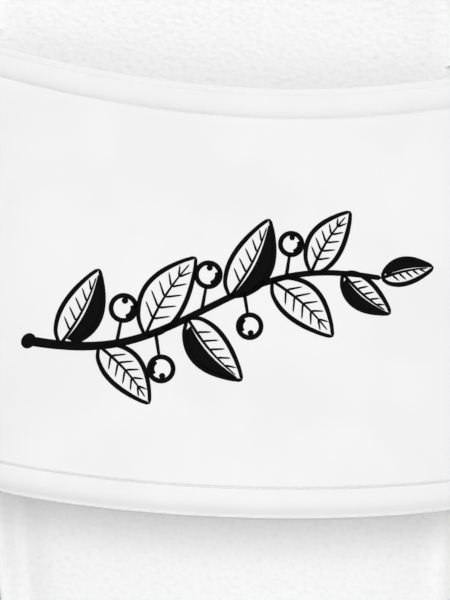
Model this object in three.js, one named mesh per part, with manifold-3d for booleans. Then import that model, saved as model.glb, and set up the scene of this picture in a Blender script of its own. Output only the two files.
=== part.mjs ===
// A white slide sandal for the right foot, in millimetres, +Z up.
// +Y points to the toe and +X to the outer, little toe side. The origin is under the middle of the sole.
// A cupped footbed lies in a tray-shaped midsole on a treaded outsole, and one moulded band arches over it.

import * as THREE from 'three';
import { LoftGeometry } from 'three/addons/geometries/LoftGeometry.js';
import { mergeVertices } from 'three/addons/utils/BufferGeometryUtils.js';
import Module from 'manifold-3d';

// Outline: how far the edge lies from a straight spine, at even steps along each side and round each end
const SPINE_HALF = 88;
const OUTER_SIDE_REACH = [42, 44.5, 48, 50.5, 51.8, 52.3, 48.5];
const TOE_REACH = [46.5, 46, 47.8, 50, 51];
const INNER_SIDE_REACH = [50, 52.5, 50, 47, 45, 42.5, 41];
const HEEL_REACH = [43, 46, 48, 46, 43];
const KNOTS_PER_RUN = 6;
const OUTLINE_STEPS = 72;

// Heights of the sole
const TOE_SPRING = 9;
const TOE_SPRING_FROM = 76;
const HEEL_BEVEL = 3.5;
const HEEL_BEVEL_FROM = -114;
const SOLE_END = 136;
const OUTSOLE_THICKNESS = 5.5;
const BED_AT_BALL = 23;
const BED_HEEL_RISE = 6;
const BED_TOE_RISE = 5;
const FOOTBED_THICKNESS = 5;
const CUP_RISE = 5.5;
const CUP_HEEL_EXTRA = 2;
const CUP_TOE_LESS = 3;
const CUP_WIDTH = 10;
const CUP_EDGE = 3;
const ARCH_SUPPORT = 3;
const ARCH_SUPPORT_Y = -22;
const ARCH_SUPPORT_LENGTH = 34;

// Walls and clearances. SPINE is an inset beyond any reach
const SPINE = 100;
const GAP = 0.3;
const BAND_ROOM = 0.45;
const MIDSOLE_WALL = 2.5;
const OUTSOLE_INSET = 3;

// Tread: straight bars between transverse grooves, in two rows
const GROOVE_WIDTH = 3;
const GROOVE_DEPTH = 2.2;
const GROOVE_PITCH = 13;
const GROOVE_FROM = -104;
const GROOVE_COUNT = 15;
const TREAD_BORDER = 9;
const TREAD_SPINE = 5;

// Band: where its edges run, how high it stands and how it turns down into the sole
const BAND_Y = 22;
const BAND_FRONT = 37;
const BAND_FRONT_CURVE = 0.00274;
const BAND_REAR = -38.4;
const BAND_REAR_CURVE = 0.00158;
const BAND_LOW_X = 13;
const BAND_TOP_FRONT = 68;
const BAND_TOP_REAR = 85;
const BAND_CROWN = 0.3;
const BAND_FOOT_Z = 14;
const BAND_INSET = 3;
const CREST_X = -6;
const WALL_TILT = THREE.MathUtils.degToRad(90);
const TILT_POWER = 4.6;
const ARCH_SHARE = 0.6;
const FRONT_LEAN = 0.14;
const REAR_LEAN = 0.1;
const SHELL_THICKNESS = 2.4;
const LINING_THICKNESS = 1.2;
const LINING_INSET = 1.2;
const BEAD_GONE_Z = 36;
const BEAD_FULL_Z = 44;
const BEAD_TRACE = 0.15;
const BAND_STEPS = 44;

// Shell section, as distances in from its edge and heights over the smooth panel: lip, groove, bead, crease
const FRONT_LIP = [[0, -0.7], [0.15, 0.1], [0.75, 0.15], [1.1, 0.1]];
const REAR_LIP = [[0, -1.4], [0.15, -0.75], [0.75, -0.75], [1.1, -0.65]];
const BEAD = [[1.6, 0.15], [2.4, 0.35], [3.4, 0.4], [4.6, 0.3]];
const FRONT_RIM = [...FRONT_LIP, ...BEAD, [5.1, -0.12], [7.8, 0]];
const REAR_RIM = [...REAR_LIP, [1.6, -0.3], [2.4, 0.1], ...BEAD.slice(2), [5.1, -0.2], [5.6, 0]];
const EDGE_STEPS = [3.3, 7.8];
const PANEL_STEPS = [0.18, 0.29, 0.4, 0.5, 0.6, 0.71, 0.82];

const WHITE = 0xf3f3f2;
const WARM_WHITE = 0xefefed;

const manifold = await Module();
manifold.setup();

const { clamp, lerp, smoothstep } = THREE.MathUtils;

// Solids

/** Returns a geometry whose shared corners are merged and whose collapsed triangles are gone. */
function closedGeometry(geometry) {
  const plain = new THREE.BufferGeometry().copy(geometry);
  plain.deleteAttribute('normal');
  plain.deleteAttribute('uv');
  const merged = mergeVertices(plain, 1e-4);
  const index = merged.index.array;
  const kept = [];
  for (let i = 0; i < index.length; i += 3) {
    const [a, b, c] = [index[i], index[i + 1], index[i + 2]];
    if (a !== b && b !== c && c !== a) kept.push(a, b, c);
  }
  merged.setIndex(kept);
  return merged;
}

/** Turns a closed geometry into a solid that can be cut. */
function toSolid(geometry) {
  const closed = closedGeometry(geometry);
  const vertProperties = new Float32Array(closed.attributes.position.array);
  const triVerts = new Uint32Array(closed.index.array);
  return new manifold.Manifold(new manifold.Mesh({ numProp: 3, vertProperties, triVerts }));
}

/** Turns a solid back into a geometry. */
function toGeometry(solid) {
  const { vertProperties, triVerts } = solid.getMesh();
  const geometry = new THREE.BufferGeometry();
  geometry.setAttribute('position', new THREE.BufferAttribute(new Float32Array(vertProperties), 3));
  geometry.setIndex(new THREE.BufferAttribute(new Uint32Array(triVerts), 1));
  geometry.computeVertexNormals();
  return geometry;
}

/** Names a solid and gives it its finish. */
function piece(name, solid, color, roughness) {
  const material = new THREE.MeshStandardMaterial({ color, roughness, metalness: 0 });
  const mesh = new THREE.Mesh(toGeometry(solid), material);
  mesh.name = name;
  return mesh;
}

// Outline of the sole

const reaches = [...OUTER_SIDE_REACH, ...TOE_REACH, ...INNER_SIDE_REACH, ...HEEL_REACH];
const reachPoints = reaches.map((reach) => new THREE.Vector3(reach, 0, 0));
const reachCurve = new THREE.CatmullRomCurve3(reachPoints, true, 'catmullrom', 0.5);

/** Gives the spine point, outward direction and reach at a knot number along the outline. */
function station(knot) {
  const run = Math.floor(knot / KNOTS_PER_RUN) % 4;
  const along = (knot / KNOTS_PER_RUN) % 1;
  const reach = reachCurve.getPoint(knot / reaches.length).x;
  const side = run < 2 ? 1 : -1;
  if (run % 2 === 0) {
    return { x: 0, y: side * lerp(-SPINE_HALF, SPINE_HALF, along), outX: side, outY: 0, reach };
  }
  const angle = Math.PI * along;
  return { x: 0, y: side * SPINE_HALF, outX: side * Math.cos(angle), outY: side * Math.sin(angle), reach };
}

/** How far the sole's edge lies from the middle on one side (1 outer, -1 inner) at a place along it. */
function sideReach(side, y) {
  const along = clamp((y + SPINE_HALF) / (2 * SPINE_HALF), 0, 0.9999);
  const knot = side > 0 ? along * KNOTS_PER_RUN : (3 - along) * KNOTS_PER_RUN;
  return reachCurve.getPoint(knot / reaches.length).x;
}

/** One closed ring at a fixed inset from the outline, down to the spine itself. */
function ring(inset, height) {
  const points = [];
  for (let i = 0; i < OUTLINE_STEPS; i++) {
    const { x, y, outX, outY, reach } = station((i / OUTLINE_STEPS) * reaches.length);
    const from = Math.max(reach - inset, 0);
    const px = x + outX * from;
    const py = y + outY * from;
    points.push(new THREE.Vector3(px, py, height(px, py, Math.min(inset, reach))));
  }
  return points;
}

/** A solid skinned through rings, from the spine under it, round the edge, to the spine on top. */
function ringSolid(rings) {
  return toSolid(new LoftGeometry(rings.map(([inset, height]) => ring(inset, height))));
}

// Heights of the sole's surfaces

/** Underside of the sole: flat, with a raised toe and a bevelled heel. */
function floorZ(x, y) {
  const toe = Math.max(0, (y - TOE_SPRING_FROM) / (SOLE_END - TOE_SPRING_FROM));
  const heel = Math.max(0, (HEEL_BEVEL_FROM - y) / (SOLE_END + HEEL_BEVEL_FROM));
  return TOE_SPRING * toe * toe + HEEL_BEVEL * heel * heel;
}

/** Lowest line of the footbed, before its sides turn up. */
function bedZ(x, y) {
  const heel = 1 - smoothstep(y, -75, 35);
  const toe = Math.max(0, (y - TOE_SPRING_FROM) / (SOLE_END - TOE_SPRING_FROM));
  return BED_AT_BALL + BED_HEEL_RISE * heel + BED_TOE_RISE * toe * toe;
}

/** Height of the footbed's rim over its lowest line. */
function cupRise(y) {
  return CUP_RISE + CUP_HEEL_EXTRA * smoothstep(-y, 40, 110) - CUP_TOE_LESS * smoothstep(y, 80, 130);
}

/** Top of the footbed: a cup with a low arch support on the inner side. */
function footbedZ(x, y, inset) {
  const cup = cupRise(y) * (1 - smoothstep(inset, CUP_EDGE, CUP_WIDTH));
  const along = (y - ARCH_SUPPORT_Y) / ARCH_SUPPORT_LENGTH;
  const support = ARCH_SUPPORT * Math.exp(-along * along) * smoothstep(-x, 8, 26) * smoothstep(inset, 0, 14);
  return bedZ(x, y) + cup + support;
}

const outsoleTop = (x, y) => floorZ(x, y) + OUTSOLE_THICKNESS;
const midsoleBottom = (x, y) => outsoleTop(x, y) + GAP;
const footbedBottom = (x, y) => bedZ(x, y) - FOOTBED_THICKNESS;
const trayFloor = (x, y) => footbedBottom(x, y) - GAP;
const midsoleRim = (x, y) => bedZ(x, y) + cupRise(y) - 1.2;
const aboveAll = () => BAND_TOP_REAR;

// Surface of the band

/** Running sums along the arch, whose tilt grows slowly over the top and fast at the shoulders. */
function archTable(steps) {
  const table = [[0, 0]];
  for (let i = 0; i < steps; i++) {
    const tilt = WALL_TILT * ((i + 0.5) / steps) ** TILT_POWER;
    const [x, drop] = table[i];
    table.push([x + Math.cos(tilt) / steps, drop + Math.sin(tilt) / steps]);
  }
  return table;
}

const arch = archTable(96);
const [archWidth, archDrop] = arch[arch.length - 1];

/** Sideways reach and drop of the unit arch at a share of its length. */
function archPoint(share) {
  const place = clamp(share, 0, 1) * (arch.length - 1);
  const i = Math.min(Math.floor(place), arch.length - 2);
  const [x0, drop0] = arch[i];
  const [x1, drop1] = arch[i + 1];
  return [lerp(x0, x1, place - i), lerp(drop0, drop1, place - i)];
}

/** Height of the band's crest: it falls towards the toe, with a slight crown. */
function crestZ(y) {
  const share = (y - BAND_Y - BAND_REAR) / (BAND_FRONT - BAND_REAR);
  return lerp(BAND_TOP_REAR, BAND_TOP_FRONT, share) + BAND_CROWN * (1 - (2 * share - 1) ** 2);
}

/** Point of the band's outer face. Across runs from -1, inner foot, over 0, the crest, to 1, outer foot. */
function facePoint(across, y) {
  const side = across < 0 ? -1 : 1;
  const halfWidth = sideReach(side, y) - BAND_INSET - side * CREST_X;
  const height = crestZ(y) - BAND_FOOT_Z;
  const slack = 1 / Math.tan(WALL_TILT);
  const size = (halfWidth - slack * height) / (archWidth - slack * archDrop);
  const [x, drop] = archPoint(Math.abs(across) / ARCH_SHARE);
  const down = Math.max(0, (Math.abs(across) - ARCH_SHARE) / (1 - ARCH_SHARE)) * (height - size * archDrop);
  return new THREE.Vector3(CREST_X + side * (size * x + down * slack), y, crestZ(y) - size * drop - down);
}

/** Front and rear ends of the band, along the sole, at a place across it. */
function bandEnds(across) {
  const { x, z } = facePoint(across, BAND_Y);
  const shoulder = facePoint(Math.sign(across) * ARCH_SHARE, BAND_Y);
  const below = Math.max(0, shoulder.z - z) * smoothstep(Math.abs(across), ARCH_SHARE, 1);
  const fromLow = (x - BAND_LOW_X) ** 2;
  const front = BAND_Y + BAND_FRONT + BAND_FRONT_CURVE * fromLow + FRONT_LEAN * below;
  const rear = BAND_Y + BAND_REAR + BAND_REAR_CURVE * fromLow - REAR_LEAN * below;
  return [front, rear];
}

/** Point at a height over the outer face, square to it. */
function raisedPoint(across, y, raise) {
  const step = 0.01;
  const alongBand = facePoint(across + step, y).sub(facePoint(across - step, y));
  const alongSole = facePoint(across, y + 1).sub(facePoint(across, y - 1));
  const normal = alongBand.cross(alongSole).normalize();
  return facePoint(across, y).addScaledVector(normal, raise);
}

/** A solid along the whole band, whose section lists places between the ends and heights over the face. */
function bandSolid(section, end = 1) {
  const loops = [];
  for (let i = 0; i <= BAND_STEPS; i++) {
    const across = lerp(-end, end, i / BAND_STEPS);
    const [front, rear] = bandEnds(across);
    loops.push(section.map(({ place, raise, moulded }) => {
      const y = place(front, rear);
      const risen = smoothstep(facePoint(across, y).z, BEAD_GONE_Z, BEAD_FULL_Z);
      return raisedPoint(across, y, moulded ? raise * lerp(BEAD_TRACE, 1, risen) : raise);
    }));
  }
  return toSolid(new LoftGeometry(loops, { capStart: true, capEnd: true }));
}

const fromFront = (distance) => (front) => front - distance;
const fromRear = (distance) => (front, rear) => rear + distance;
const share = (part) => (front, rear) => lerp(front, rear, part);

/** Section of a plain layer between two heights, which may run past both edges of the band. */
function layerSection(top, bottom, margin) {
  const front = [margin, ...EDGE_STEPS].map(fromFront);
  const rear = [margin, ...EDGE_STEPS].map(fromRear).reverse();
  const places = [...front, ...PANEL_STEPS.map(share), ...rear];
  const upper = places.map((place) => ({ place, raise: top }));
  const lower = places.map((place) => ({ place, raise: bottom })).reverse();
  return [...upper, ...lower];
}

/** Section of the shell: a lip and a bead along each edge and the smooth panel between them. */
function shellSection() {
  const moulded = true;
  const front = FRONT_RIM.map(([inward, raise]) => ({ place: fromFront(inward), raise, moulded }));
  const panel = PANEL_STEPS.map((part) => ({ place: share(part), raise: 0 }));
  const rear = REAR_RIM.map(([inward, raise]) => ({ place: fromRear(inward), raise, moulded })).reverse();
  const frontPlaces = [0, ...EDGE_STEPS].map(fromFront);
  const rearPlaces = [0, ...EDGE_STEPS].map(fromRear).reverse();
  const places = [...frontPlaces, ...PANEL_STEPS.map(share), ...rearPlaces].reverse();
  const inner = places.map((place) => ({ place, raise: -SHELL_THICKNESS }));
  return [...front, ...panel, ...rear, ...inner];
}

// Pieces

/** Grooves across the tread, left and right of a plain strip down the middle. */
function treadGrooves() {
  const grooves = [];
  for (let i = 0; i < GROOVE_COUNT; i++) {
    const y = GROOVE_FROM + i * GROOVE_PITCH;
    for (const side of [1, -1]) {
      const length = sideReach(side, y) - OUTSOLE_INSET - TREAD_BORDER - TREAD_SPINE;
      const lift = floorZ(0, y);
      const box = new THREE.BoxGeometry(length, GROOVE_WIDTH, 2 * GROOVE_DEPTH);
      box.translate(side * (TREAD_SPINE + length / 2), y, lift);
      grooves.push(toSolid(box));
    }
  }
  return grooves;
}

function outsoleSolid() {
  const body = ringSolid([
    [SPINE, floorZ],
    [24, floorZ],
    [OUTSOLE_INSET + 1, floorZ],
    [OUTSOLE_INSET, (x, y) => floorZ(x, y) + 1],
    [OUTSOLE_INSET - 0.8, outsoleTop],
    [24, outsoleTop],
    [SPINE, outsoleTop],
  ]);
  return treadGrooves().reduce((solid, groove) => solid.subtract(groove), body);
}

function midsoleSolid(bandRoom) {
  const body = ringSolid([
    [SPINE, midsoleBottom],
    [24, midsoleBottom],
    [1.6, midsoleBottom],
    [0.5, (x, y) => midsoleBottom(x, y) + 4],
    [0, (x, y) => lerp(midsoleBottom(x, y), midsoleRim(x, y), 0.5)],
    [0.2, (x, y) => midsoleRim(x, y) - 3],
    [0.8, (x, y) => midsoleRim(x, y) - 0.8],
    [1.5, midsoleRim],
    [24, midsoleRim],
    [SPINE, midsoleRim],
  ]);
  const tray = ringSolid([
    [SPINE, trayFloor],
    [24, trayFloor],
    [MIDSOLE_WALL, trayFloor],
    [MIDSOLE_WALL, aboveAll],
    [SPINE, aboveAll],
  ]);
  return body.subtract(tray).subtract(bandRoom);
}

function footbedSolid(bandRoom) {
  const edge = MIDSOLE_WALL + GAP;
  const body = ringSolid([
    [SPINE, footbedBottom],
    [24, footbedBottom],
    [edge, footbedBottom],
    [edge, (x, y) => footbedZ(x, y, 0) - 0.8],
    [edge + 0.8, footbedZ],
    [5, footbedZ],
    [7, footbedZ],
    [9, footbedZ],
    [11.5, footbedZ],
    [28, footbedZ],
    [SPINE, footbedZ],
  ]);
  return body.subtract(bandRoom);
}

const liningTop = -SHELL_THICKNESS - GAP;
const liningBottom = liningTop - LINING_THICKNESS;
const bandRoom = bandSolid(layerSection(BAND_ROOM, liningBottom - BAND_ROOM, -BAND_ROOM), 1.008);

const slide = new THREE.Group();
slide.add(
  piece('outsole', outsoleSolid(), WARM_WHITE, 0.6),
  piece('midsole', midsoleSolid(bandRoom), WHITE, 0.5),
  piece('footbed', footbedSolid(bandRoom), WHITE, 0.6),
  piece('band_shell', bandSolid(shellSection()), WHITE, 0.4),
  piece('band_lining', bandSolid(layerSection(liningTop, liningBottom, LINING_INSET)), WARM_WHITE, 0.6),
);

export default slide;
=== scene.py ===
import logging
import math
from dataclasses import dataclass, field
from enum import Enum
from typing import Any, Callable

import bmesh
import bpy
import numpy as np
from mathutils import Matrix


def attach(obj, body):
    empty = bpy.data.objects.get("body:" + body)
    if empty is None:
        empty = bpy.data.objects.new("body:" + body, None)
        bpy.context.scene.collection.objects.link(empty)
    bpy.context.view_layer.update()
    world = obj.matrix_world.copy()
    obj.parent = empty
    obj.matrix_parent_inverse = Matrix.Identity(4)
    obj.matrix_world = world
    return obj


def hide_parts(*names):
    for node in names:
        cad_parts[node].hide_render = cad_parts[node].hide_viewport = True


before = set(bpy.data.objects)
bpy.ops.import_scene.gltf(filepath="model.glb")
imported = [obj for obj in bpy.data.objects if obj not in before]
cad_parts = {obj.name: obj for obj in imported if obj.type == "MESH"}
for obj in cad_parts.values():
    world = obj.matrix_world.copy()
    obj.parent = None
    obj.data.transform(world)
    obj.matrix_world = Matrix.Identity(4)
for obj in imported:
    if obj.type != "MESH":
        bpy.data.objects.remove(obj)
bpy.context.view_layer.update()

log = logging.getLogger("slide")

# Lengths are in millimetres up to the meshes, which are in metres
MM = 0.001
TOUCHING = 0.002 * MM
FOLDED = 0.0005 * MM
BODY = "root"

Colour = tuple[float, float, float]
Profile = tuple[tuple[float, float], ...]
Height = Callable[[np.ndarray, np.ndarray, np.ndarray], np.ndarray]

# Places of the colour sockets on a Mix node, whose names repeat for each type of data
MIX_SHARE, MIX_LOW, MIX_HIGH, MIX_RESULT = 0, 6, 7, 2


def smoothstep(value: np.ndarray, low: float, high: float) -> np.ndarray:
    """Returns 0 below low and 1 above high, with an even turn between them."""
    t = np.clip((value - low) / (high - low), 0, 1)
    return t * t * (3 - 2 * t)


def blend(a: Any, b: Any, share: Any) -> Any:
    """Returns the value a share of the way from a to b."""
    return a + (b - a) * share


def through(before: Any, here: Any, after: Any, beyond: Any, t: Any) -> Any:
    """Returns the value a share of the way from here to after, on a smooth curve through all four."""
    bend = 2 * before - 5 * here + 4 * after - beyond + t * (3 * (here - after) + beyond - before)
    return here + 0.5 * t * (after - before + t * bend)


def grey(level: float) -> Colour:
    """Returns a grey."""
    return level, level, level


# Shader maths


@dataclass(frozen=True)
class Signal:
    """A node's output socket that takes part in Python arithmetic.

    Args:
        tree: The node tree that the socket is in.
        socket: The output socket.
    """

    tree: bpy.types.NodeTree
    socket: bpy.types.NodeSocket

    def maths(self, operation: str, first: Any, *others: Any) -> "Signal":
        """Adds a Math node.

        Args:
            operation: The Math node's operation.
            first: Its first value, a signal or a number.
            others: Its other values.

        Returns:
            The node's result.
        """
        node = self.tree.nodes.new("ShaderNodeMath")
        node.operation = operation
        for place, value in enumerate((first, *others)):
            if isinstance(value, Signal):
                self.tree.links.new(value.socket, node.inputs[place])
            else:
                node.inputs[place].default_value = float(value)
        return Signal(self.tree, node.outputs[0])

    def __add__(self, other: Any) -> "Signal":
        """Adds."""
        return self.maths("ADD", self, other)

    def __radd__(self, other: Any) -> "Signal":
        """Adds, with the signal on the right."""
        return self.maths("ADD", other, self)

    def __sub__(self, other: Any) -> "Signal":
        """Subtracts."""
        return self.maths("SUBTRACT", self, other)

    def __rsub__(self, other: Any) -> "Signal":
        """Subtracts the signal from a number."""
        return self.maths("SUBTRACT", other, self)

    def __mul__(self, other: Any) -> "Signal":
        """Multiplies."""
        return self.maths("MULTIPLY", self, other)

    def __rmul__(self, other: Any) -> "Signal":
        """Multiplies, with the signal on the right."""
        return self.maths("MULTIPLY", other, self)

    def wave(self) -> "Signal":
        """Returns the sine."""
        return self.maths("SINE", self)


class Finish:
    """A new material that ends in one Principled shader."""

    def __init__(self, name: str) -> None:
        """Makes the material.

        Args:
            name: The material's name.
        """
        self.material = bpy.data.materials.new(name)
        self.material.use_nodes = True
        self.tree = self.material.node_tree
        self.shader = self.tree.nodes["Principled BSDF"]

    def add(self, kind: str, settings: dict[str, Any], values: dict[Any, Any], output: Any = 0) -> Signal:
        """Adds a node.

        Args:
            kind: The node's type.
            settings: Properties of the node, set before its sockets.
            values: What each input socket holds or is linked to.
            output: The output that is returned.

        Returns:
            The node's output.
        """
        node = self.tree.nodes.new(kind)
        for name, value in settings.items():
            setattr(node, name, value)
        for socket, value in values.items():
            if isinstance(value, Signal):
                self.tree.links.new(value.socket, node.inputs[socket])
            else:
                node.inputs[socket].default_value = value
        return Signal(self.tree, node.outputs[output])

    def place(self) -> Signal:
        """Returns the place on the object, in metres."""
        return self.add("ShaderNodeTexCoord", {}, {}, "Object")

    def stretched(self, vector: Signal, scale: tuple[float, float, float]) -> Signal:
        """Scales a vector by a different amount along each axis."""
        return self.add("ShaderNodeVectorMath", {"operation": "MULTIPLY"}, {0: vector, 1: scale})

    def noise(self, vector: Signal, scale: float, detail: float = 2.0) -> Signal:
        """Returns a noise value about 0.5."""
        return self.add("ShaderNodeTexNoise", {}, {"Vector": vector, "Scale": scale, "Detail": detail})

    def wobbled(self, vector: Signal, scale: float, amount: float) -> Signal:
        """Moves a vector about by noise, so that a pattern on it loses its evenness.

        Args:
            vector: The vector.
            scale: The noise's scale.
            amount: How far the vector moves.

        Returns:
            The moved vector.
        """
        values = {"Vector": vector, "Scale": scale, "Detail": 1.0}
        colour = self.add("ShaderNodeTexNoise", {}, values, "Color")
        centred = self.add("ShaderNodeVectorMath", {"operation": "SUBTRACT"}, {0: colour, 1: (0.5, 0.5, 0.5)})
        reach = self.add("ShaderNodeVectorMath", {"operation": "SCALE"}, {0: centred, "Scale": amount})
        return self.add("ShaderNodeVectorMath", {"operation": "ADD"}, {0: vector, 1: reach})

    def domes(self, vector: Signal, smoothness: float) -> Signal:
        """Adds a flat pattern of cells, one to each unit of the vector.

        Args:
            vector: Where the pattern is read.
            smoothness: How softly a cell runs into the next.

        Returns:
            The distance to the middle of the nearest cell.
        """
        settings = {"feature": "SMOOTH_F1", "voronoi_dimensions": "2D"}
        values = {"Vector": vector, "Scale": 1.0, "Smoothness": smoothness, "Randomness": 0.9}
        return self.add("ShaderNodeTexVoronoi", settings, values, "Distance")

    def turned(self, value: Signal, low: float = 0.3, high: float = 0.7) -> Signal:
        """Maps a value from low to high, at first what noise covers, onto 0 to 1 with soft ends."""
        settings = {"interpolation_type": "SMOOTHSTEP"}
        return self.add("ShaderNodeMapRange", settings, {"Value": value, "From Min": low, "From Max": high})

    def colour(self, share: Signal, low: Colour, high: Colour) -> None:
        """Drives the base colour between two colours.

        Args:
            share: How far from low to high.
            low: Colour at 0.
            high: Colour at 1.
        """
        values = {MIX_SHARE: share, MIX_LOW: (*low, 1.0), MIX_HIGH: (*high, 1.0)}
        self.drive("Base Color", self.add("ShaderNodeMix", {"data_type": "RGBA"}, values, MIX_RESULT))

    def drive(self, socket: str, value: Signal) -> None:
        """Links a value to one of the shader's sockets."""
        self.tree.links.new(value.socket, self.shader.inputs[socket])

    def relief(self, height: Signal, depth: float) -> None:
        """Bumps the surface.

        Args:
            height: Height of the relief, from 0 to 1.
            depth: What 1 stands for, in millimetres.
        """
        bump = self.add("ShaderNodeBump", {}, {"Height": height, "Strength": 1.0, "Distance": depth * MM})
        self.drive("Normal", bump)

    def constant(self, **values: Any) -> None:
        """Sets sockets of the shader that are the same all over, named with _ for each space."""
        for name, value in values.items():
            self.shader.inputs[name.replace("_", " ")].default_value = value


@dataclass(frozen=True)
class Surface:
    """What every finish of the slide has.

    Args:
        name: The material's name.
        low: Its darker tone.
        high: Its lighter tone.
        depth: Depth of its relief, in millimetres.
        roughness: Its roughness before the pattern changes it.
        roughness_range: How much the pattern changes it.
        specular: Strength of its reflection.
    """

    name: str
    low: Colour
    high: Colour
    depth: float
    roughness: float
    roughness_range: float
    specular: float

    def finished(self, finish: Finish, share: Signal, rough: Signal, height: Signal) -> bpy.types.Material:
        """Drives the shader from a pattern.

        Args:
            finish: The material in the making.
            share: How light the tone is, from 0 to 1.
            rough: What changes the roughness.
            height: Height of the relief.

        Returns:
            The material.
        """
        finish.colour(share, self.low, self.high)
        finish.drive("Roughness", self.roughness + self.roughness_range * rough)
        finish.relief(height, self.depth)
        finish.constant(Specular_IOR_Level=self.specular)
        return finish.material


@dataclass(frozen=True)
class SmoothSkin(Surface):
    """Satin moulded skin: nearly flat, with a trace of orange peel."""

    name: str = "smooth_skin"
    low: Colour = grey(0.795)
    high: Colour = grey(0.82)
    depth: float = 0.004
    roughness: float = 0.6
    roughness_range: float = 0.1
    specular: float = 0.2
    cloud_scale: float = 60.0
    peel_scale: float = 900.0
    peel_detail: float = 3.0

    def build(self) -> bpy.types.Material:
        """Builds the material.

        Returns:
            The material.
        """
        finish = Finish(self.name)
        place = finish.place()
        cloud = finish.noise(place, self.cloud_scale)
        peel = finish.noise(place, self.peel_scale, self.peel_detail)
        return self.finished(finish, finish.turned(cloud), peel - 0.5, peel)


@dataclass(frozen=True)
class LeatherGrain(Surface):
    """Foam with a moulded leather-like grain: soft wrinkles over low pebbles and a slow swell. Its colour is
    painted a little darker in the valleys between the pebbles, as shade.

    Args:
        cell: Width of a pebble along the sole, in millimetres.
        squeeze: Pebbles across the sole for each one along it.
        wobble: How far the pebbles lie out of order, in cells.
        softness: How softly a pebble runs into the next.
        dome_fall: How far a pebble falls one cell from its middle.
        dome_share: The pebbles' part of the relief.
        wrinkle_scale: Wrinkles to a cell.
        wrinkle_share: Their part of the relief.
        swell_scale: Swells to a cell.
        swell_share: Their part of the relief.
    """

    name: str = "leather_grain"
    # low is painted shade in the valleys between the pebbles, high is the pebble tops
    low: Colour = grey(0.86)
    high: Colour = grey(0.884)
    depth: float = 0.22
    roughness: float = 0.55
    roughness_range: float = 0.1
    specular: float = 0.35
    cell: float = 0.85
    squeeze: float = 0.8
    wobble: float = 0.6
    softness: float = 0.9
    dome_fall: float = 1.4
    dome_share: float = 0.2
    wrinkle_scale: float = 0.95
    wrinkle_share: float = 0.65
    swell_scale: float = 0.25
    swell_share: float = 0.2

    def build(self) -> bpy.types.Material:
        """Builds the material.

        Returns:
            The material.
        """
        finish = Finish(self.name)
        per_cell = 1 / (self.cell * MM)
        place = finish.stretched(finish.place(), (per_cell * self.squeeze, per_cell, per_cell))
        away = finish.domes(finish.wobbled(place, 0.8, self.wobble), self.softness)
        domes = 1 - self.dome_fall * away * away
        wrinkle = finish.noise(place, self.wrinkle_scale, 0.3)
        swell = finish.noise(place, self.swell_scale)
        height = self.dome_share * domes + self.wrinkle_share * wrinkle + self.swell_share * swell
        # The colour follows the pebbles: painted shade darkens the valleys between them
        return self.finished(finish, finish.turned(domes, 0.3, 0.9), 1 - domes, height)


@dataclass(frozen=True)
class KnitLining(Surface):
    """Close white knit on the inside of the band, with stitches in rows and fuzz on its yarn. Its colour is
    painted darker where the loops dip, as shade between the stitches.
    """

    name: str = "knit_lining"
    # low is painted shade in the hollows between the loops, high is the loop tops
    low: Colour = grey(0.76)
    high: Colour = grey(0.88)
    depth: float = 0.12
    roughness: float = 0.85
    roughness_range: float = -0.1
    specular: float = 0.2
    stitch: float = 0.8
    fuzz_scale: float = 2500.0
    fuzz_share: float = 0.3
    sheen: float = 0.15

    def build(self) -> bpy.types.Material:
        """Builds the material.

        Returns:
            The material.
        """
        finish = Finish(self.name)
        turns = 2 * math.pi / (self.stitch * MM)
        place = finish.place()
        x, y, z = (finish.add("ShaderNodeSeparateXYZ", {}, {0: place}, axis) for axis in "XYZ")
        ribs = ((x + z) * turns).wave()
        rows = (y * turns).wave()
        loop_height_and_shade = 0.5 + 0.25 * ribs * rows + 0.25 * rows
        finish.constant(Sheen_Weight=self.sheen)
        height = loop_height_and_shade + self.fuzz_share * finish.noise(place, self.fuzz_scale)
        # The colour follows the loops' height: painted shade in the hollows between the stitches
        return self.finished(finish, loop_height_and_shade, loop_height_and_shade, height)


@dataclass(frozen=True)
class TreadRubber(SmoothSkin):
    """Matt rubber with a fine sparked texture from its mould."""

    name: str = "tread_rubber"
    low: Colour = (0.79, 0.79, 0.78)
    high: Colour = (0.84, 0.84, 0.83)
    depth: float = 0.03
    roughness: float = 0.6
    roughness_range: float = 0.2
    specular: float = 0.35
    cloud_scale: float = 45.0
    peel_scale: float = 2200.0
    peel_detail: float = 4.0


@dataclass(frozen=True)
class BlackInk(Surface):
    """Screen-printed black ink, a little uneven in its coverage."""

    name: str = "black_ink"
    low: Colour = grey(0.0015)
    high: Colour = grey(0.004)
    depth: float = 0.002
    roughness: float = 0.75
    roughness_range: float = 0.15
    specular: float = 0.05
    cover_scale: float = 1500.0

    def build(self) -> bpy.types.Material:
        """Builds the material.

        Returns:
            The material.
        """
        finish = Finish(self.name)
        cover = finish.noise(finish.place(), self.cover_scale, 3.0)
        return self.finished(finish, cover, cover - 0.5, cover)


# Forms that the pieces share


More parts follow.
